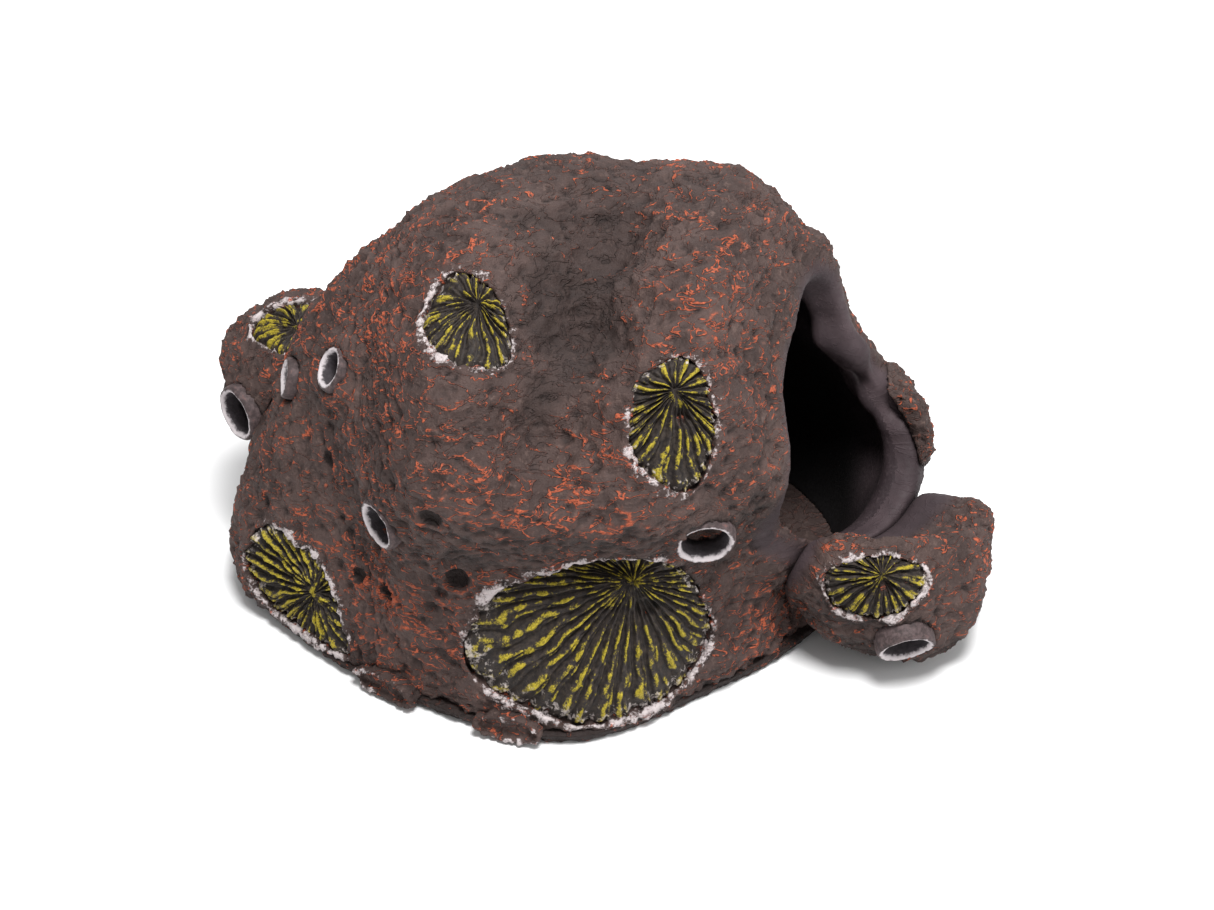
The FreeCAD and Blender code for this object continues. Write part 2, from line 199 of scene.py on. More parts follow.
# Smooth round pits: a node, millimetres right, back and up from its middle, radius, depth.
PITS = [("fan_dome", (-12, 5, -9), 3.2, 1.7), ("fan_dome", (12, -2, -9), 3.0, 1.6),
        ("collar_band", (12, -12, 11), 3.0, 1.6), ("collar_band", (16, -5, -11), 3.1, 1.7),
        ("fan_big_front", (-18, 2, 25), 3.2, 1.6), ("collar_brow", (-15, -2, 8), 3.6, 2.0),
        ("collar_band", (-15, 20, 2), 2.6, 1.4), ("collar_band", (-2, 2, -22), 2.6, 1.3),
        ("collar_band", (-9, 8, -22), 2.2, 1.1), ("collar_brow", (16, 8, -12), 3.4, 1.8),
        ("fan_dome", (-3, 20, 4), 2.6, 1.2),
        ("fan_right_front", (8, 26, 18), 2.4, 1.1), ("fan_back_left", (28, 4, 14), 3.2, 1.6),
        ("fan_back_left", (-26, -12, 22), 3.0, 1.4), ("fan_back_high", (-20, 4, -8), 3.4, 1.7),
        ("collar_back_right", (-16, 6, -18), 3.2, 1.5), ("collar_back_right", (18, -12, -14), 2.8, 1.4),
        ("collar_back_left", (12, 10, -12), 2.6, 1.3), ("fan_left_low", (22, -14, 8), 2.4, 1.2)]
# Fan looks: hub right and up as a share of the half size, ribs, height of the hub.
FAN_LOOKS = {"fan_big_front": (0.20, 0.50, 34, 2.2), "fan_dome": (0.15, 0.25, 20, 0.9),
             "fan_right_front": (0.05, 0.35, 22, 1.0), "fan_left_low": (0.25, 0.20, 26, 1.2),
             "fan_right_side": (0.0, 0.2, 18, 0.8), "fan_back_left": (0.15, 0.3, 26, 1.3),
             "fan_back_high": (0.0, 0.25, 18, 0.9), "fan_left_boulder": (0.3, 0.1, 17, 0.8),
             "fan_lip": (0.1, 0.35, 20, 1.0)}
COLLARS = [n for n in sorted(nodes) if n.startswith("collar_")]
BOULDERS = ("left_boulder", "lip_boulder", "rim_boulder")


# ---------------------------------------------------------------- small helpers
def turns(count):
    """Angles of count equal steps around."""
    return np.arange(count) * 2 * math.pi / count


def smooth(low, high, value):
    t = np.clip((value - low) / (high - low), 0.0, 1.0)
    return t * t * (3.0 - 2.0 * t)


def unit(v):
    return v / np.maximum(np.linalg.norm(v, axis=-1, keepdims=True), 1e-9)


def points_of(mesh):
    flat = np.zeros(len(mesh.vertices) * 3, np.float32)
    mesh.vertices.foreach_get("co", flat)
    return flat.reshape(-1, 3).astype(float) / MM


def set_points(mesh, points):
    mesh.vertices.foreach_set("co", (points * MM).astype(np.float32).ravel())
    mesh.update()


def normals_of(mesh):
    flat = np.zeros(len(mesh.vertices) * 3, np.float32)
    mesh.vertices.foreach_get("normal", flat)
    return flat.reshape(-1, 3).astype(float)


def edges_of(mesh):
    flat = np.zeros(len(mesh.edges) * 2, np.int32)
    mesh.edges.foreach_get("vertices", flat)
    return flat.reshape(-1, 2)


def neighbour_mean(values, edges):
    """Mean of each vertex's neighbours, for one value or one row a vertex."""
    count = len(values)
    table = values.reshape(count, -1)
    degree = np.bincount(edges.ravel(), minlength=count)
    total = np.zeros_like(table)
    for k in range(table.shape[1]):
        total[:, k] = (np.bincount(edges[:, 0], table[edges[:, 1], k], count)
                       + np.bincount(edges[:, 1], table[edges[:, 0], k], count))
    return (total / np.maximum(degree, 1)[:, None]).reshape(values.shape)


def relax(values, edges, rounds, weight=0.5):
    for _ in range(rounds):
        mixed = neighbour_mean(values, edges)
        w = weight if np.isscalar(weight) else weight.reshape(-1, *([1] * (values.ndim - 1)))
        values = values + w * (mixed - values)
    return values


def sample(points, scale, kind, shift=0.0):
    """A noise field at points, in cells of about scale millimetres."""
    cells = points / scale + shift
    return np.fromiter((kind(Vector(c)) for c in cells), float, len(cells))


def grain(v):
    return noise.noise(v)


def lumps(v):
    return noise.fractal(v, 0.9, 2.1, 3)


def spread(v):
    """Distance to the nearest of scattered points, in cells."""
    return noise.voronoi(v)[0][0]


def tree_of(meshes):
    """Nearest-surface search over CAD node meshes, in millimetres."""
    points, polygons = [], []
    for mesh in meshes:
        base = len(points)
        points += [tuple(p) for p in points_of(mesh)]
        polygons += [[base + i for i in p.vertices] for p in mesh.polygons]
    return BVHTree.FromPolygons(points, polygons)


def distances(tree, points):
    return np.array([tree.find_nearest(Vector(p))[3] for p in points])


def remeshed(names, voxel):
    """Even quad mesh over the union of CAD nodes."""
    parts = []
    for name in names:
        part = bpy.data.objects.new("part", nodes[name].data.copy())
        bpy.context.scene.collection.objects.link(part)
        parts.append(part)
    whole = parts[0]
    if len(parts) > 1:
        with bpy.context.temp_override(active_object=whole, selected_editable_objects=parts,
                                       object=whole, selected_objects=parts):
            bpy.ops.object.join()
    modifier = whole.modifiers.new("even", "REMESH")
    modifier.mode = "VOXEL"
    modifier.voxel_size = voxel * MM
    graph = bpy.context.evaluated_depsgraph_get()
    mesh = bpy.data.meshes.new_from_object(whole.evaluated_get(graph))
    bpy.data.objects.remove(whole)
    return mesh


def mesh_from(name, points, faces):
    mesh = bpy.data.meshes.new(name)
    mesh.from_pydata([tuple(p) for p in points * MM], [], faces)
    mesh.update()
    return mesh


def attribute(mesh, name, values):
    layer = mesh.attributes.get(name) or mesh.attributes.new(name, "FLOAT", "POINT")
    layer.data.foreach_set("value", np.asarray(values, np.float32))


def piece(name, mesh, material, replaced):
    """Link a finished mesh as a piece that rides on the part and stands for a CAD node."""
    for polygon in mesh.polygons:
        polygon.use_smooth = True
    mesh.materials.clear()
    mesh.materials.append(material)
    obj = bpy.data.objects.new(name, mesh)
    bpy.context.scene.collection.objects.link(obj)
    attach(obj, "root")
    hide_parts(replaced)


def loops_of(mesh):
    """The vertex of each face corner."""
    loops = np.zeros(len(mesh.loops), np.int32)
    mesh.loops.foreach_get("vertex_index", loops)
    return loops


def face_of_loops(mesh):
    """The face of each face corner, and the number of corners of each face."""
    totals = np.zeros(len(mesh.polygons), np.int32)
    mesh.polygons.foreach_get("loop_total", totals)
    return np.repeat(np.arange(len(totals)), totals), totals


def write_uv(mesh, uv):
    layer = mesh.uv_layers.new(name="OFBake")
    layer.data.foreach_set("uv", uv.astype(np.float32).ravel())


def cube_uv(mesh, centre):
    """Six charts by the direction from the centre, in a grid three wide and two high."""
    corners = points_of(mesh)[loops_of(mesh)]
    owner, totals = face_of_loops(mesh)
    ways = corners - centre
    middle = np.zeros((len(totals), 3))
    for k in range(3):
        middle[:, k] = np.bincount(owner, ways[:, k], len(totals)) / totals
    axis = np.abs(middle).argmax(1)
    sign = np.take_along_axis(middle, axis[:, None], 1)[:, 0] > 0.0
    chart = (axis * 2 + sign)[owner]
    main = axis[owner]
    depth = np.maximum(np.abs(np.take_along_axis(ways, main[:, None], 1)[:, 0]), 1e-3)
    across = np.take_along_axis(ways, ((main + 1) % 3)[:, None], 1)[:, 0] / depth
    along = np.take_along_axis(ways, ((main + 2) % 3)[:, None], 1)[:, 0] / depth
    inner = 0.95         # charts stay clear of each other
    u = (chart % 3 + 0.5 + 0.5 * inner * np.clip(across, -1.05, 1.05)) / 3.0
    v = (chart // 3 + 0.5 + 0.5 * inner * np.clip(along, -1.05, 1.05)) / 2.0
    write_uv(mesh, np.stack([u, v], 1))


# ---------------------------------------------------------------- materials
class Nodes:
    """Short calls for building one node material."""

    def __init__(self, name):
        self.material = bpy.data.materials.new(name)
        self.material.use_nodes = True
        self.tree = self.material.node_tree
        self.shader = self.tree.nodes["Principled BSDF"]
        coordinates = self.tree.nodes.new("ShaderNodeTexCoord")
        scale = self.tree.nodes.new("ShaderNodeVectorMath")
        scale.operation = "SCALE"
        scale.inputs["Scale"].default_value = 1.0 / MM
        self.link(coordinates.outputs["Object"], scale.inputs[0])
        self.place = scale.outputs[0]

    def link(self, a, b):
        self.tree.links.new(a, b)

    def put(self, value, socket):
        if isinstance(value, (int, float, tuple)):
            socket.default_value = value
        else:
            self.link(value, socket)

    def value(self, name):
        node = self.tree.nodes.new("ShaderNodeAttribute")
        node.attribute_name = name
        return node.outputs["Fac"]

    def math(self, operation, a, b=0.0):
        node = self.tree.nodes.new("ShaderNodeMath")
        node.operation = operation
        self.put(a, node.inputs[0])
        self.put(b, node.inputs[1])
        return node.outputs[0]

    def total(self, *terms):
        """Sum of value and weight pairs."""
        whole = self.math("MULTIPLY", *terms[0])
        for value, weight in terms[1:]:
            whole = self.math("ADD", whole, self.math("MULTIPLY", value, weight))
        return whole

    def centred(self, value):
        return self.math("SUBTRACT", value, 0.5)

    def stretched(self, factors):
        """Position scaled by axis, so that a pattern runs longer one way than another."""
        node = self.tree.nodes.new("ShaderNodeVectorMath")
        node.operation = "MULTIPLY"
        self.link(self.place, node.inputs[0])
        node.inputs[1].default_value = factors
        return node.outputs[0]

    def noise(self, cell, detail, rough=0.55, bend=0.0, where=None):
        node = self.tree.nodes.new("ShaderNodeTexNoise")
        node.inputs["Scale"].default_value = 1.0 / cell
        node.inputs["Detail"].default_value = detail
        node.inputs["Roughness"].default_value = rough
        node.inputs["Distortion"].default_value = bend
        self.link(where or self.place, node.inputs["Vector"])
        return node.outputs["Fac"]

    def ramp(self, value, low, high, out_low=0.0, out_high=1.0):
        node = self.tree.nodes.new("ShaderNodeMapRange")
        node.interpolation_type = "SMOOTHSTEP"
        self.put(value, node.inputs["Value"])
        self.put(low, node.inputs["From Min"])
        self.put(high, node.inputs["From Max"])
        node.inputs["To Min"].default_value = out_low
        node.inputs["To Max"].default_value = out_high
        return node.outputs[0]

    def mix(self, share, a, b):
        """Colour a turning to colour b."""
        node = self.tree.nodes.new("ShaderNodeMix")
        node.data_type = "RGBA"
        self.put(share, node.inputs[0])
        self.put(a, node.inputs[6])
        self.put(b, node.inputs[7])
        return node.outputs[2]

    def bump(self, height, strength, distance):
        node = self.tree.nodes.new("ShaderNodeBump")
        node.inputs["Strength"].default_value = strength
        node.inputs["Distance"].default_value = distance * MM
        self.put(height, node.inputs["Height"])
        self.link(node.outputs[0], self.shader.inputs["Normal"])

    def finish(self, colour, rough, gloss=0.3):
        self.put(colour, self.shader.inputs["Base Color"])
        self.put(rough, self.shader.inputs["Roughness"])
        self.shader.inputs["Specular IOR Level"].default_value = gloss
        return self.material


def colour(red, green, blue):
    """Colour from 0..255 screen values."""
    parts = []
    for c in (red, green, blue):
        c = c / 255.0
        parts.append(c / 12.92 if c <= 0.04045 else ((c + 0.055) / 1.055) ** 2.4)
    return (*parts, 1.0)


def rock_material():
    """Dark stone, a rust wash, orange on the crests and threads, chalk at the rims, a smooth lip, and
    painted shade in hollows, on faces turned down and in pits.
    """
    n = Nodes("painted_lava_rock")
    mottle = n.noise(14.0, 5.0, 0.6)
    speck = n.noise(1.7, 4.0, 0.65)
    fine = n.noise(0.6, 3.0, 0.6)
    bed = n.stretched((0.65, 0.8, 1.6))
    thread = n.math("ABSOLUTE", n.centred(n.noise(4.2, 3.0, 0.55, 0.7, bed)))
    thread = n.ramp(thread, 0.004, 0.035, 1.0, 0.0)
    base = n.mix(n.ramp(mottle, 0.35, 0.68), colour(56, 43, 40), colour(76, 60, 56))
    base = n.mix(n.ramp(speck, 0.52, 0.74, 0.0, 0.6), base, colour(105, 87, 81))
    # painted shade: darker where the stone lies low, faces down or is in a pit
    base = n.mix(n.ramp(n.value("hollow_shade"), 0.05, 0.8, 0.0, 0.85), base, colour(28, 21, 20))
    # painted shade: the stone darkens where the brush-and-shade value falls below zero, as in the valley, on
    # faces turned down and in pits
    base = n.mix(n.ramp(n.value("brush_and_shade"), -0.40, -0.04, 0.60, 0.0), base, colour(36, 27, 25))
    wear = n.total((n.value("crest"), 0.52), (thread, 0.46), (speck, 0.48), (fine, 0.30),
                   (n.value("brush_and_shade"), 0.72))
    wash = n.mix(n.ramp(wear, 0.60, 0.98, 0.0, 0.5), base, colour(108, 60, 46))
    orange = n.mix(n.ramp(fine, 0.35, 0.65), colour(138, 68, 46), colour(178, 88, 58))
    paint = n.mix(n.ramp(wear, 0.82, 1.00, 0.0, 0.92), wash, orange)
    chalk = n.total((n.value("chalk"), 1.0), (n.centred(speck), 1.6), (n.centred(fine), 0.8))
    paint = n.mix(n.ramp(chalk, 0.46, 0.80, 0.0, 0.85), paint, colour(196, 186, 186))
    lip = n.mix(n.ramp(mottle, 0.3, 0.7), colour(50, 40, 43), colour(68, 56, 59))
    paint = n.mix(n.value("lip"), paint, lip)
    height = n.total((speck, 0.6), (fine, 0.35), (thread, 0.42))
    calm = n.math("SUBTRACT", 1.0, n.math("MULTIPLY", n.value("lip"), 0.85))
    n.bump(n.math("MULTIPLY", height, calm), 0.95, 1.0)
    return n.finish(paint, n.ramp(speck, 0.3, 0.7, 0.66, 0.84))


def lining_material():
    n = Nodes("cave_skin")
    mottle = n.noise(12.0, 4.0, 0.55)
    fine = n.noise(0.8, 3.0, 0.6)
    base = n.mix(n.ramp(mottle, 0.3, 0.7), colour(44, 35, 38), colour(62, 51, 54))
    base = n.mix(n.ramp(fine, 0.5, 0.8, 0.0, 0.4), base, colour(84, 71, 73))
    # painted shade: the lining turns near-black deeper inside the cave
    base = n.mix(n.value("cave_shade"), base, colour(14, 12, 13))
    n.bump(n.total((fine, 1.0), (mottle, 1.5)), 0.3, 0.35)
    return n.finish(base, n.ramp(fine, 0.3, 0.7, 0.55, 0.72))


def coral_material():
    n = Nodes("brushed_coral")
    speck = n.noise(1.1, 4.0, 0.65)
    fine = n.noise(0.45, 3.0, 0.6)
    base = n.mix(n.ramp(speck, 0.35, 0.7), colour(32, 27, 26), colour(60, 52, 46))
    brush_and_shade_density = n.total((n.value("crest"), 1.0), (n.centred(speck), 1.1), (n.centred(fine), 0.7))
    yellow = n.mix(n.ramp(fine, 0.35, 0.65), colour(118, 106, 26), colour(170, 152, 42))
    paint = n.mix(n.ramp(brush_and_shade_density, 0.60, 0.98, 0.0, 0.95), base, yellow)
    chalk = n.total((n.value("chalk"), 1.0), (n.centred(speck), 1.5))
    paint = n.mix(n.ramp(chalk, 0.5, 0.8, 0.0, 0.8), paint, colour(190, 180, 176))
    n.bump(n.total((speck, 1.0), (fine, 0.5)), 0.6, 0.45)
    return n.finish(paint, n.ramp(speck, 0.3, 0.7, 0.6, 0.8))


def tube_material():
    n = Nodes("chalked_tube")
    speck = n.noise(1.2, 4.0, 0.65)
    fine = n.noise(0.5, 3.0, 0.6)
    base = n.mix(n.ramp(speck, 0.35, 0.7), colour(56, 46, 46), colour(88, 74, 74))
    base = n.mix(n.value("inside"), base, n.mix(speck, colour(34, 30, 32), colour(84, 78, 82)))
    chalk = n.total((n.value("chalk"), 1.0), (n.centred(speck), 1.1))
    warm = n.total((n.value("warm"), 0.8), (speck, 0.6))
    base = n.mix(n.ramp(warm, 0.78, 1.15, 0.0, 0.8), base, colour(158, 76, 52))
    paint = n.mix(n.ramp(chalk, 0.45, 0.85, 0.0, 0.9), base, colour(198, 190, 192))
    n.bump(n.total((speck, 1.0), (fine, 0.5)), 0.5, 0.35)
    return n.finish(paint, n.ramp(fine, 0.3, 0.7, 0.6, 0.78))


ROCK_PAINT = rock_material()
LINING_PAINT = lining_material()
CORAL_PAINT = coral_material()
TUBE_PAINT = tube_material()


# ---------------------------------------------------------------- frames of fans and collars
def flat_frame(points, centre):
    """Middle, right, up and outward directions of a flat CAD node."""
    middle = points.mean(0)
    _, vectors = np.linalg.eigh(np.cov((points - middle).T))
    out = vectors[:, 0]
    if out @ (middle - centre) < 0.0:
        out = -out
    right = unit(np.cross((0.0, 0.0, 1.0), out))
    return middle, right, np.cross(out, right), out


def home(name):
    """Centre of the rock or boulder that a feature sits on."""
    if "left_boulder" in name:
        return middle_of("left_boulder")
    if "lip" in name:
        return middle_of("lip_boulder")
    return ROCK_CENTRE


def middle_of(name):
    low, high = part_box(name)
    return np.array((low + high) / 2) / MM


def outline_of(local, count):
    """Reach of the node in each direction, smoothed around."""
    angle = np.arctan2(local[:, 1], local[:, 0])
    reach = np.hypot(local[:, 0], local[:, 1])
    slots = ((angle / (2 * math.pi)) % 1.0 * count).astype(int) % count
    out = np.zeros(count)
    np.maximum.at(out, slots, reach)
    known = np.nonzero(out)[0]
    out = np.interp(np.arange(count), known, out[known], period=count)
    for _ in range(3):
        out = (np.roll(out, 1) + 2 * out + np.roll(out, -1)) / 4
    return out


class Fan:
    """Frame and outline of a fan's CAD node, and the curved sheet fitted to its face."""

    def __init__(self, name):
        points = points_of(nodes[name].data)
        self.middle, self.right, self.up, self.out = flat_frame(points, home(name))
        offset = points - self.middle
        local = np.stack([offset @ self.right, offset @ self.up, offset @ self.out], 1)
        self.reach = outline_of(local, 72)
        terms = self.terms(local[:, 0], local[:, 1])
        level = local[:, 2]
        keep = np.ones(len(level), bool)
        for _ in range(4):
            fit = np.linalg.lstsq(terms[keep], level[keep], rcond=None)[0]
            keep = level > terms @ fit
        self.fit = np.linalg.lstsq(terms[keep], level[keep], rcond=None)[0]
        self.size = (np.ptp(local[:, 0]) / 2, np.ptp(local[:, 1]) / 2)

    @staticmethod
    def terms(x, y):
        return np.stack([np.ones_like(x), x, y, x * x, x * y, y * y, x ** 3, y ** 3, x * x * y,
                         x * y * y], 1)

    def rim(self, angle):
        return np.interp(angle % (2 * math.pi), turns(len(self.reach)), self.reach, period=2 * math.pi)

    def edge(self, angle):
        """Outline points at these angles, across and up the face."""
        return np.stack([self.rim(angle) * np.cos(angle), self.rim(angle) * np.sin(angle)], 1)

    def place(self, x, y, rise):
        level = self.terms(x, y) @ self.fit + rise
        return (self.middle + x[:, None] * self.right + y[:, None] * self.up
                + level[:, None] * self.out)


fans = {name: Fan(name) for name in FAN_LOOKS}


# ---------------------------------------------------------------- rock relief
def nearest_index(points, targets):
    """Index of the nearest target to each point, and its distance."""
    tree = KDTree(len(targets))
    for i, p in enumerate(targets):
        tree.insert(Vector(p), i)
    tree.balance()
    found = [tree.find(Vector(p)) for p in points]
    return np.array([f[1] for f in found]), np.array([f[2] for f in found])


def snapped(spots):
    """Nearest point of the stone to each spot that a table gives from a node's middle."""
    return [np.array(STONE.find_nearest(Vector(middle_of(node) + offset))[0])
            for node, offset, *_ in spots]


STONE = tree_of([nodes[n].data for n in ("rock_body", *BOULDERS)])
PIT_SPOTS = snapped(PITS)
BRUSH_AND_SHADE_SPOTS = snapped(BRUSH_AND_SHADE)
FAN_EDGE = np.concatenate([fan.place(*fan.edge(turns(120)).T, 0.6) for fan in fans.values()])
COLLAR_SPOTS = []
for collar_name in COLLARS:
    spot, _, _, way = flat_frame(points_of(nodes[collar_name].data), home(collar_name))
    COLLAR_SPOTS.append((spot, way))


def near_spot(points, spot, reach):
    """Indices and distances of the points within reach of one spot."""
    away = np.linalg.norm(points - spot, axis=1)
    close = np.nonzero(away < reach)[0]
    return close, away[close]


def lip_weights(points, lip_points, lip_share):
    """How much each point belongs to the smooth lip of the cave, and to its far side."""
    which, away = nearest_index(points, lip_points)
    left, right = lip_points[:, 0].min(), lip_points[:, 0].max()
    far = smooth(left + FAR_START, right - FAR_FULL, lip_points[which, 0])
    band = (LIP_NARROW + (LIP_WIDE - LIP_NARROW) * far) * lip_share
    return 1.0 - smooth(LIP_FULL * band, LIP_END * band, away), far


def bare_stone(points):
    """Height of the stone before pits and rims, its broad lumps, and its wrinkle crests."""
    bend = np.stack([sample(points, BEND_CELL, grain, shift) for shift in (3.1, 17.7, 41.3)], 1)
    bent = points + BEND_REACH * bend
    flank = smooth(FLANK_START, FLANK_END, points[:, 0])[:, None]
    bed = bent * np.array(ACROSS) * (1.0 - flank) + bent * np.array(DOWN) * flank
    big = sample(points, LUMP_CELL, lumps)
    wrinkle = sample(bed, WRINKLE_CELL, grain)
    fine_wrinkle = sample(bed, FINE_CELL, grain, 9.0)
    ridge = np.exp(-(wrinkle / RIDGE_WIDTH) ** 2)
    fine_ridge = np.exp(-(fine_wrinkle / FINE_WIDTH) ** 2)
    rubble = sample(points, RUBBLE_CELL, lumps, 5.0)
    dimple = 1.0 - smooth(0.25, 0.55, sample(points, DIMPLE_CELL, spread, 31.0))
    height = (LUMP_RISE * big + WRINKLE_RISE * wrinkle + RIDGE_RISE * ridge + FINE_RISE * fine_ridge
              + RUBBLE_RISE * rubble - DIMPLE_DEPTH * dimple)
    return height, big, np.maximum(ridge, 0.8 * fine_ridge)


def add_pits(points, height):
    """Cut the smooth round pits. Also gives where a pit is and where its raised ring is."""
    pit = np.zeros(len(points))
    ring = np.zeros(len(points))
    for (_, _, radius, depth), spot in zip(PITS, PIT_SPOTS):
        close, away = near_spot(points, spot, 2.0 * radius)
        away = away / radius
        bowl = PIT_SCALE * depth * (1.0 - smooth(PIT_FLOOR, PIT_TOP, away))
        pit[close] = np.maximum(pit[close], bowl)
        ring[close] = np.maximum(ring[close], np.exp(-((away - PIT_RING) / PIT_RING_WIDTH) ** 2))
    calm = smooth(0.1, 0.9, pit)
    return height * (1.0 - PIT_CALM * calm) - pit + PIT_RING_RISE * ring, calm, ring


def add_rims(points, height, crumb, patch):
    """Crumbly rims around the fans, and a low mound of stone around each tube."""
    _, gap = nearest_index(points, FAN_EDGE)
    rim = 1.0 - smooth(RIM_START, RIM_END + RIM_WANDER * patch, gap + RIM_WANDER * crumb)
    height = height * (1.0 - RIM_CALM * rim) + rim * (RIM_RISE + crumb)
    for spot, way in COLLAR_SPOTS:
        close, _ = near_spot(points, spot, MOUND_NEAR)
        offset = points[close] - spot
        radial = np.linalg.norm(offset - np.outer(offset @ way, way), axis=1)
        height[close] += COLLAR_MOUND * (1.0 - smooth(MOUND_FULL, MOUND_END, radial)) * (radial > TUBE_REACH)
    return height, rim


def far_lobes(points, lip, far):
    """Uneven lobes along the far rim of the cave, fading out downwards near the top of lip_boulder."""
    lip_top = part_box("lip_boulder")[1].z / MM
    high_up = smooth(lip_top + LOBE_NONE, lip_top + LOBE_FULL, points[:, 2])
    return LOBE_RISE * far * lip * high_up * sample(points, LOBE_CELL, grain, 63.0)


def brush_and_shade_density(points, density):
    """Density of orange, and of painted shade where it falls below zero, with what the table of brushed and
    shaded areas adds or takes.
    """
    for (_, _, reach, amount), spot in zip(BRUSH_AND_SHADE, BRUSH_AND_SHADE_SPOTS):
        density += amount * np.exp(-(np.linalg.norm(points - spot, axis=1) / reach) ** 2)
    return density


def relief(mesh, covered, lip_points, lip_share=1.0):
    """Push the mesh into lava rock and store what the paint and the painted shade need. covered is 1 where
    it stays plain.
    """
    points = points_of(mesh)
    edges = edges_of(mesh)
    lip, far = lip_weights(points, lip_points, lip_share)
    points = relax(points, edges, LIP_ROUNDS, LIP_EASE * lip)
    set_points(mesh, points)
    ways = unit(relax(normals_of(mesh), edges, 4))

    height, big, line = bare_stone(points)
    height, calm, pit_ring = add_pits(points, height)
    crumb = sample(points, CRUMB_CELL, grain, 12.0)
    patch = sample(points, PATCH_CELL, grain, 55.0)
    height, rim = add_rims(points, height, crumb, patch)
    still = np.clip(np.maximum(covered, LIP_CALM * lip), 0.0, 1.0)
    height = height * (1.0 - still)
    crest = height - relax(height, edges, 8)
    height = height + far_lobes(points, lip, far)
    density = brush_and_shade_density(points, BRUSH_LUMP * big + BRUSH_PATCH * patch)
    set_points(mesh, points + ways * height[:, None])

    # facing down: feeds the painted shade and takes orange away
    under = smooth(0.05, -0.6, unit(relax(normals_of(mesh), edges, 6))[:, 2])
    line = line * smooth(-0.25, 0.2, patch + 0.6 * crumb)
    proud = np.clip(CREST_HEIGHT * crest + CREST_LINE * line, -1.0, 1.6)
    # painted shade: darker in hollows, on faces turned down and in pits
    low = -SHADE_IN_HOLLOWS * crest + SHADE_FACING_DOWN * under + SHADE_IN_PITS * calm
    attribute(mesh, "crest", proud * (1.0 - still))
    attribute(mesh, "hollow_shade", np.clip(low, 0.0, 1.0))
    # orange above zero, painted shade below it
    attribute(mesh, "brush_and_shade", density + BRUSH_AND_SHADE_UNDER * under + BRUSH_RING * pit_ring + BRUSH_AND_SHADE_PIT * calm)
    attribute(mesh, "chalk", rim * (CHALK_RIM + CHALK_CRUMB * crumb + CHALK_PATCH * patch))
    attribute(mesh, "lip", lip ** 2)


def split_by(mesh, chosen, name):
    """A new mesh with the chosen faces only."""
    part = mesh.copy()
    part.name = name
    work = bmesh.new()
    work.from_mesh(part)
    work.faces.ensure_lookup_table()
    gone = [work.faces[i] for i in np.nonzero(~chosen)[0]]
    bmesh.ops.delete(work, geom=gone, context="FACES")
    work.to_mesh(part)
    work.free()
    return part


def rock_and_lining():
    """One relief over shell and lining, parted into two pieces. Returns the points of the cave edge."""
    mesh = remeshed(["rock_body", "cave_lining"], ROCK_VOXEL)
    rock_tree = tree_of([nodes["rock_body"].data])
    lining_tree = tree_of([nodes["cave_lining"].data])
    points = points_of(mesh)
    to_rock = distances(rock_tree, points)
    to_lining = distances(lining_tree, points)
    inside = smooth(-SKIN_FADE, SKIN_FADE, to_rock - to_lining)
    # the cave edge is where shell and lining meet in the open, above the foot and clear of the sockets
    above_foot = points[:, 2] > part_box("base_slab")[1].z / MM + EDGE_OVER_FOOT
    border = (np.abs(to_rock - to_lining) < EDGE_EVEN) & above_foot
    for spot, _ in COLLAR_SPOTS:
        border &= np.linalg.norm(points - spot, axis=1) > EDGE_CLEAR
    border &= points[:, 0] > ROCK_CENTRE[0] + EDGE_RIGHT
    lip_points = points[border]
    relief(mesh, inside, lip_points)
    points = points_of(mesh)
    # painted shade inside the cave, darker with distance from the cave edge
    depth = smooth(CAVE_SHADE_START, CAVE_SHADE_END, nearest_index(points, lip_points)[1])
    attribute(mesh, "cave_shade", depth)
    owner, totals = face_of_loops(mesh)
    share = np.bincount(owner, (to_rock - to_lining)[loops_of(mesh)], len(totals)) / totals
    skin = share > 0.0
    for name, chosen, paint, slot in (("rock_body", ~skin, ROCK_PAINT, "rock"),
                                      ("cave_lining", skin, LINING_PAINT, "lining")):
        part = split_by(mesh, chosen, name)
        cube_uv(part, ROCK_CENTRE)
        piece(name + "_look", part, paint, name)
    bpy.data.meshes.remove(mesh)
    return lip_points


def boulder(name, lip_points):
    """A side boulder, left plain where it lies against the shell."""
    mesh = remeshed([name], BOULDER_VOXEL)
    tree = tree_of([nodes["rock_body"].data])
    points = points_of(mesh)
    hidden = 1.0 - smooth(TOUCHING, FREE, distances(tree, points))
    relief(mesh, hidden, lip_points, LIP_SHARE[name])
    cube_uv(mesh, middle_of(name))
    piece(name + "_look", mesh, ROCK_PAINT, name)


def edge_shell(name):
    """A thin rough shell at the foot, chalked on its outer edge, with painted shade towards its inner side.
    """
    mesh = remeshed([name], SHELL_VOXEL)
    points = points_of(mesh)
    edges = edges_of(mesh)
    rough = sample(points, SHELL_CELL, lumps, 3.0)
    out = unit(middle_of(name) - np.array([ROCK_CENTRE[0], ROCK_CENTRE[1], 3.0]))
    set_points(mesh, relax(points, edges, 4) + normals_of(mesh) * (SHELL_ROUGH * rough)[:, None])
    proud = (points - middle_of(name)) @ out
    attribute(mesh, "crest", 0.2 + 0.6 * rough)
    # painted shade, darker towards the side that lies against the rock
    attribute(mesh, "hollow_shade", smooth(0.0, 2.0, 1.0 - proud) * 0.5)
    attribute(mesh, "brush_and_shade", np.full(len(points), -0.05))
    attribute(mesh, "chalk", smooth(0.6, 2.6, proud) * (SHELL_CHALK + 0.7 * rough))
    attribute(mesh, "lip", np.zeros(len(points)))
    cube_uv(mesh, middle_of(name))
    piece(name + "_look", mesh, ROCK_PAINT, name)


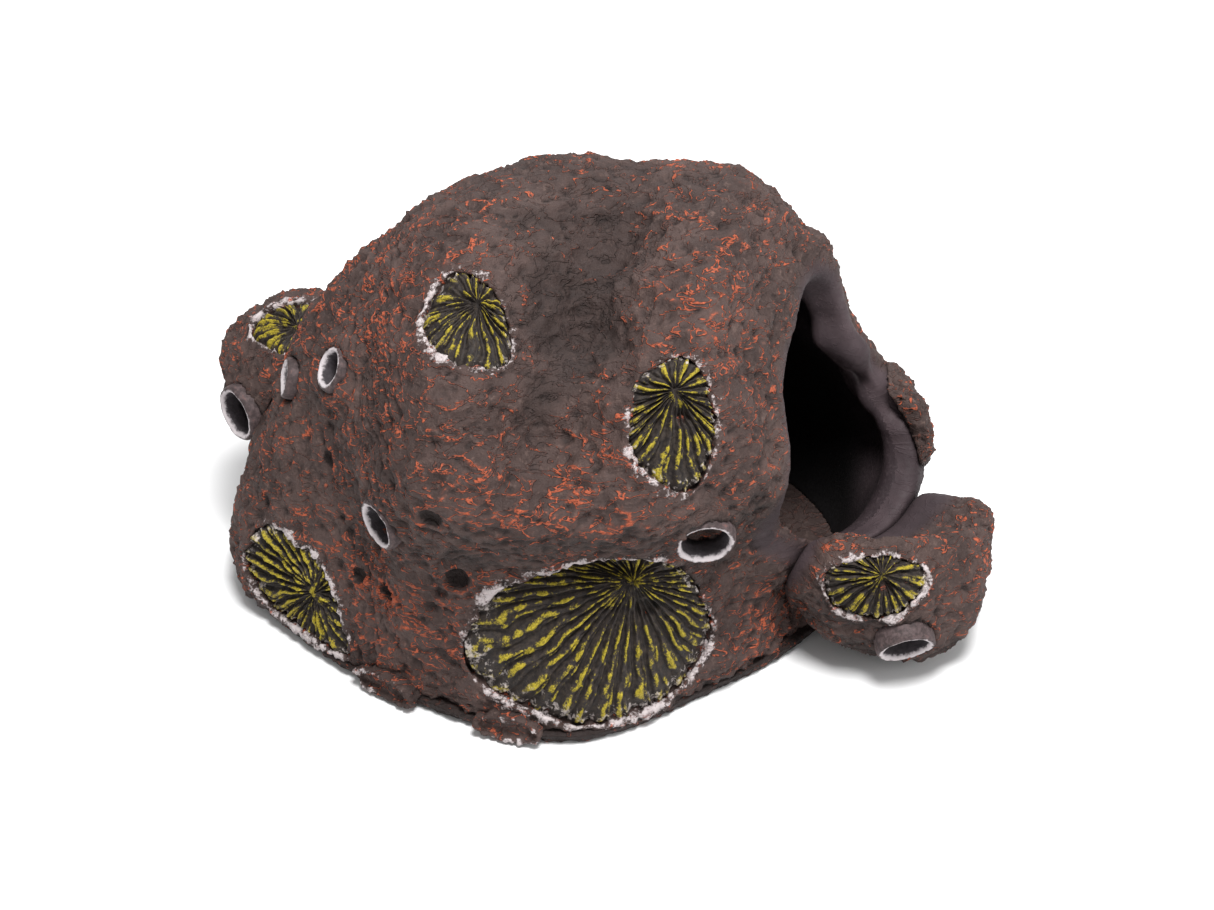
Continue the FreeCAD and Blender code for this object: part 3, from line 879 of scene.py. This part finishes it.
# ---------------------------------------------------------------- fans
def fan_grid(fan, hub, ribs):
    """Rings of points from the hub to the rim: places, share of the way out, angles, the rim."""
    around = ribs * STEPS_PER_RIB
    rings = max(FEWEST_RINGS, int(max(fan.size) / RING_STEP))
    angle = turns(around)
    rim = fan.edge(angle) * FACE_SHARE
    share = (np.arange(1, rings + 1) / rings) ** 0.9
    grid = hub + share[:, None, None] * (rim - hub)
    flat = np.concatenate([hub[None, :], grid.reshape(-1, 2)])
    out = np.concatenate([[0.0], np.repeat(share, around)])
    turn = np.concatenate([[0.0], np.tile(angle, rings)])
    return flat, out, turn, rim, rings


def fan_relief(name, fan, seed, hub, flat, out, turn):
    """Rise above the sheet, brushed crests and fine chips of a fan's points."""
    _, _, ribs, hub_height = FAN_LOOKS[name]
    spots = np.column_stack([flat, np.full(len(flat), seed * 7.3)])
    sway = sample(spots, SWAY_CELL, grain)
    chip = sample(spots, CHIP_CELL, lumps, 4.0)
    reach = np.linalg.norm(flat - hub, axis=1)
    phase = turn * ribs + SWAY * sway * smooth(0.0, 0.6, out) + 1.4 * np.sin(turn * 3.0 + seed)
    strokes = np.stack([phase * 0.32, reach / 4.5, np.full(len(flat), seed * 3.1)], 1)
    stroke = sample(strokes, 1.0, lumps)
    main = (0.5 + 0.5 * np.cos(phase)) ** 1.5
    fork = (0.5 + 0.5 * np.cos(2.0 * phase + 2.0)) ** 1.7
    rib = np.maximum(main, 0.85 * fork * smooth(0.3, 0.65, out + 0.4 * sway))
    knob = np.exp(-(out / KNOB_SHARE) ** 2)
    knots = sample(spots, KNOB_CELL, lumps, 21.0)
    rib = rib * (1.0 - knob) + (0.5 + 0.9 * knots) * knob
    crest = np.clip(rib * (0.78 + 0.9 * stroke) + 0.34 * chip, 0.0, 1.2)
    rise = (-FAN_SINK + RIB_RISE * rib * (0.85 + 0.5 * stroke)
            + hub_height * np.exp(-(out / HUB_SHARE) ** 2)
            - RIM_FALL * smooth(RIM_TURN, 1.0, out) + CHIP_RISE * chip)
    if name in EYED_FANS:
        eye = hub - np.array([-0.10, 0.42]) * fan.size
        hole = np.linalg.norm(flat - eye, axis=1) / (0.09 * max(fan.size) + 0.7)
        rise -= EYE_DEPTH * (1.0 - smooth(0.5, 1.2, hole))
        crest *= smooth(0.7, 1.3, hole)
    return rise, crest, chip


def fan_faces(around, rings):
    """Triangles at the hub, strips out to the rim and down the skirt, and the closed back."""
    skirt = 1 + rings * around
    bottom = skirt + around
    faces = []
    for i in range(around):
        j = (i + 1) % around
        faces.append((0, 1 + i, 1 + j))
        for r in range(rings):
            low = 1 + r * around
            high = low + around
            faces.append((low + i, high + i, high + j, low + j))
        faces.append((skirt + i, bottom, skirt + j))
    return faces


def fan_uv(mesh, flat, rim, hub):
    """The face as seen from the front, with the closed back shrunk into a corner."""
    reach = 1.04 * max(np.abs(flat).max(), 1.0)
    chart = np.concatenate([flat / reach * 0.47 + 0.5, rim / reach * 0.49 + 0.5,
                            hub[None] / reach * 0.49 + 0.5])
    owner, _ = face_of_loops(mesh)
    bottom = len(chart) - 1
    back = np.array([bottom in p.vertices for p in mesh.polygons])[owner]
    uv = chart[loops_of(mesh)]
    uv[back] = uv[back] * 0.02 + 0.005
    write_uv(mesh, uv)


def build_fan(name, fan, seed):
    """A closed ribbed face that follows the sheet of its CAD node."""
    hub_right, hub_up, ribs, _ = FAN_LOOKS[name]
    hub = np.array([hub_right * fan.size[0], hub_up * fan.size[1]])
    flat, out, turn, rim, rings = fan_grid(fan, hub, ribs)
    rise, crest, chip = fan_relief(name, fan, seed, hub, flat, out, turn)
    around = len(rim)
    points = np.concatenate([fan.place(flat[:, 0], flat[:, 1], rise),
                             fan.place(rim[:, 0], rim[:, 1], np.full(around, -FAN_BACK)),
                             fan.place(hub[None, 0], hub[None, 1], np.full(1, -FAN_BACK))])
    mesh = mesh_from(name, points, fan_faces(around, rings))
    unpainted = np.zeros(around + 1)
    edge = smooth(WHITE_EDGE, 1.0, out + 0.16 * chip) * 0.62
    attribute(mesh, "crest", np.concatenate([crest, unpainted]))
    attribute(mesh, "chalk", np.concatenate([edge, unpainted]))
    fan_uv(mesh, flat, rim, hub)
    piece(name + "_look", mesh, CORAL_PAINT, name)


# ---------------------------------------------------------------- collars
def collar_section(outer, bore, low, high):
    """Section of a tube: up the outside, over the lip and down the bore."""
    lip = high + COLLAR_LIP
    return [(outer, low), (outer, low * 0.4), (outer * 1.02, high - 1.6), (outer, high - 0.7),
            (outer - 0.15, high - 0.2), (outer - 0.5, lip - 0.05), ((outer + bore) / 2, lip),
            (bore + 0.35, lip - 0.15), (bore + 0.05, high - 0.6), (bore, high - 1.4),
            (bore, high - 2.6), (bore, low * 0.3), (bore, low)]


def build_collar(name, seed):
    """A slightly uneven tube with a rounded, chalked lip."""
    cad = points_of(nodes[name].data)
    middle, right, up, out = flat_frame(cad, home(name))
    offset = cad - middle
    along = offset @ out
    radius = np.linalg.norm(offset - np.outer(along, out), axis=1)
    low, high = along.min(), along.max()
    section = collar_section(radius.max(), radius.min(), low, high)
    around = COLLAR_AROUND
    count = len(section)
    r = np.repeat([p[0] for p in section], around)
    z = np.repeat([p[1] for p in section], around)
    a = np.tile(turns(around), count)
    spots = np.stack([np.cos(a) * r, np.sin(a) * r, z + seed * 11.0], 1)
    r = r + 0.22 * sample(spots, 2.4, lumps) + 0.35 * sample(spots, 7.0, grain, 6.0)
    z = z + 0.25 * sample(spots, 3.0, grain, 2.0) * smooth(low, high, z)
    points = (middle + (r * np.cos(a))[:, None] * right + (r * np.sin(a))[:, None] * up
              + z[:, None] * out)
    faces = []
    for k in range(count):
        m = (k + 1) % count
        for i in range(around):
            j = (i + 1) % around
            faces.append((k * around + i, k * around + j, m * around + j, m * around + i))
    mesh = mesh_from(name, points, faces)

    # paint by place along the section
    step = np.repeat(np.arange(count), around)
    attribute(mesh, "chalk", np.interp(step, [2, 4, 5, 7, 9, 10], [0.0, 0.0, 0.45, 0.95, 0.3, 0.0]))
    attribute(mesh, "warm", np.interp(step, [1, 2, 3, 5, 6], [0.1, 0.35, 0.62, 0.5, 0.0]))
    attribute(mesh, "inside", (step >= 8).astype(float))

    # the wall unrolled, with the last face of each row and ring carried past its seam
    loops = loops_of(mesh)
    owner, _ = face_of_loops(mesh)
    start_k = owner // around
    start_i = owner % around
    u = (loops % around - start_i) % around + start_i
    v = (loops // around - start_k) % count + start_k
    write_uv(mesh, np.stack([0.01 + 0.98 * u / around, 0.01 + 0.98 * v / count], 1))
    piece(name + "_look", mesh, TUBE_PAINT, name)


# ---------------------------------------------------------------- base slab
def slab_outline(cad, middle, chosen):
    """Reach of the chosen CAD points around the middle, at SLAB_AROUND angles."""
    coarse = outline_of(cad[chosen][:, :2] - middle, SLAB_SLOTS)
    return np.interp(turns(SLAB_AROUND), turns(SLAB_SLOTS), coarse, period=2 * math.pi)


def slab_faces(around, rows):
    """For each step around: the underside fan, the top fan, then the strips between the rows."""
    hub = rows * around
    last = (rows - 1) * around
    faces = []
    for i in range(around):
        j = (i + 1) % around
        faces.append((hub, j, i))
        faces.append((hub + 1, last + i, last + j))
        for k in range(rows - 1):
            faces.append((k * around + i, k * around + j, (k + 1) * around + j, (k + 1) * around + i))
    return faces


def slab_uv(mesh, points, middle, reach, rows):
    """The underside in plan, the wall as a strip above it and the hidden top in a corner."""
    around = SLAB_AROUND
    wall_start = 5           # first row of the wall
    wall_room = 6.0          # steps between rows that the strip has room for
    loops = loops_of(mesh)
    owner, _ = face_of_loops(mesh)
    faces_per_step = rows + 1
    strip = owner % faces_per_step - 2
    turn = owner // faces_per_step
    ahead = (loops % around - turn) % around + turn
    uv = (points[loops][:, :2] - middle) / reach * np.array([0.49, 0.39]) + np.array([0.5, 0.40])
    wall = (strip >= wall_start) & (strip <= rows - 3)
    level = np.minimum(loops // around, rows - 1)[wall]
    uv[wall] = np.stack([0.01 + 0.97 * ahead[wall] / around,
                         0.83 + 0.14 * (level - wall_start) / wall_room], 1)
    lid = (strip == rows - 2) | (strip == -1)
    uv[lid] = uv[lid] * 0.02 + np.array([0.975, 0.975])
    write_uv(mesh, uv)


def build_slab():
    """The base plate, with a rough wall and a plain top and underside, and painted shade over it, strongest
    on the wall.
    """
    cad = points_of(nodes["base_slab"].data)
    low, high = cad[:, 2].min(), cad[:, 2].max()
    middle = np.array([cad[:, 0].mean(), cad[:, 1].mean()])
    top = slab_outline(cad, middle, cad[:, 2] > high - 0.1)
    foot = slab_outline(cad, middle, cad[:, 2] < low + 0.1)
    rows = [(foot * s, low) for s in (0.35, 0.65, 0.82, 0.92, 0.97, 0.99)]
    rows += [(foot, low + SLAB_FOOT_EDGE), (foot * 0.7 + top * 0.3, low + SLAB_BEND),
             (foot * 0.3 + top * 0.7, high - SLAB_BEND), (top, high - SLAB_TOP_EDGE),
             (top * 0.99, high), (top * 0.9, high)]
    radius = np.concatenate([r for r, _ in rows])
    level = np.repeat([z for _, z in rows], SLAB_AROUND)
    step = np.repeat(np.arange(len(rows)), SLAB_AROUND)
    a = np.tile(turns(SLAB_AROUND), len(rows))
    points = np.stack([middle[0] + radius * np.cos(a), middle[1] + radius * np.sin(a), level], 1)
    rough = sample(points, 2.4, lumps)
    side = ((step >= 5) & (step <= 10)).astype(float)
    points[:, :2] += unit(points[:, :2] - middle) * (SLAB_ROUGH * rough * side)[:, None]
    under = step <= 4
    points[under, 2] += SLAB_UNDER * np.abs(rough[under])
    points = np.concatenate([points, [[*middle, low + 0.2], [*middle, high - 0.1]]])
    mesh = mesh_from("base_slab", points, slab_faces(SLAB_AROUND, len(rows)))
    rough = np.concatenate([rough, [0.0, 0.0]])
    side = np.concatenate([side, [0.0, 0.0]])
    attribute(mesh, "crest", 0.7 * rough * side)
    # painted shade: some over the whole plate and more on the wall, and a little more from the
    # brush-and-shade value below
    attribute(mesh, "hollow_shade", 0.3 + 0.4 * side)
    attribute(mesh, "brush_and_shade", np.full(len(points), -0.12))
    attribute(mesh, "chalk", 0.12 * side)
    attribute(mesh, "lip", np.zeros(len(points)))
    slab_uv(mesh, points, middle, 1.02 * max(foot.max(), top.max()), len(rows))
    piece("base_slab_look", mesh, ROCK_PAINT, "base_slab")


cave_edge = rock_and_lining()
for boulder_name in BOULDERS:
    boulder(boulder_name, cave_edge)
for shell_name in ("edge_shell_left", "edge_shell_front"):
    edge_shell(shell_name)
for number, (fan_name, fan_shape) in enumerate(fans.items()):
    build_fan(fan_name, fan_shape, number + 1)
for number, collar_name in enumerate(COLLARS):
    build_collar(collar_name, number + 1)
build_slab()


# ---------------------------------------------------------------- floor, light and camera
def plain(name, tone):
    """An even pale surface with a very faint mottle."""
    n = Nodes(name)
    soft = n.noise(90.0, 2.0)
    lighter = (tone, tone, tone, 1.0)
    darker = (tone * 0.985, tone * 0.985, tone * 0.99, 1.0)
    shade = n.mix(n.ramp(soft, 0.2, 0.8), lighter, darker)
    return n.finish(shade, 0.9, 0.1)


def floor():
    half = 6.0
    gap = 0.0002         # the floor lies just below the part
    mesh = bpy.data.meshes.new("floor")
    corners = [(-half, -half, 0.0), (half, -half, 0.0), (half, half, 0.0), (-half, half, 0.0)]
    mesh.from_pydata(corners, [], [(0, 1, 2, 3)])
    mesh.materials.append(plain("pale_floor", 0.86))
    obj = bpy.data.objects.new("floor", mesh)
    obj.location.z = cad_low.z - gap
    bpy.context.scene.collection.objects.link(obj)


def area(name, place, target, size, power):
    """A white disk lamp aimed at target."""
    data = bpy.data.lights.new(name, "AREA")
    data.shape = "DISK"
    data.size = size
    data.energy = power
    obj = bpy.data.objects.new(name, data)
    obj.location = place
    obj.rotation_euler = (Vector(target) - Vector(place)).to_track_quat("-Z", "Y").to_euler()
    bpy.context.scene.collection.objects.link(obj)


def studio():
    """White surroundings and three soft lamps."""
    world = bpy.data.worlds.new("studio")
    bpy.context.scene.world = world
    world.use_nodes = True
    background = world.node_tree.nodes["Background"]
    background.inputs["Color"].default_value = (1.0, 1.0, 1.0, 1.0)
    background.inputs["Strength"].default_value = 0.54
    middle = (0.0, 0.0, 0.05)
    area("key", (0.10, -0.35, 1.0), middle, 0.36, 14.5)
    area("fill", (0.85, -0.5, 0.45), middle, 0.7, 2.4)
    area("back", (0.1, 0.8, 0.7), middle, 0.6, 4.0)


def camera():
    """A long lens from the front and above."""
    target = Vector((0.0011, -0.0014, 0.034))
    back = Vector((0.0, -0.557, 0.390))
    data = bpy.data.cameras.new("camera")
    data.lens = 85.0
    data.sensor_width = 36.0
    data.clip_start = 0.01
    obj = bpy.data.objects.new("camera", data)
    obj.location = target + back
    obj.rotation_euler = (-back).to_track_quat("-Z", "Y").to_euler()
    bpy.context.scene.collection.objects.link(obj)
    bpy.context.scene.camera = obj


floor()
studio()
camera()
bpy.context.scene.view_settings.view_transform = "Standard"
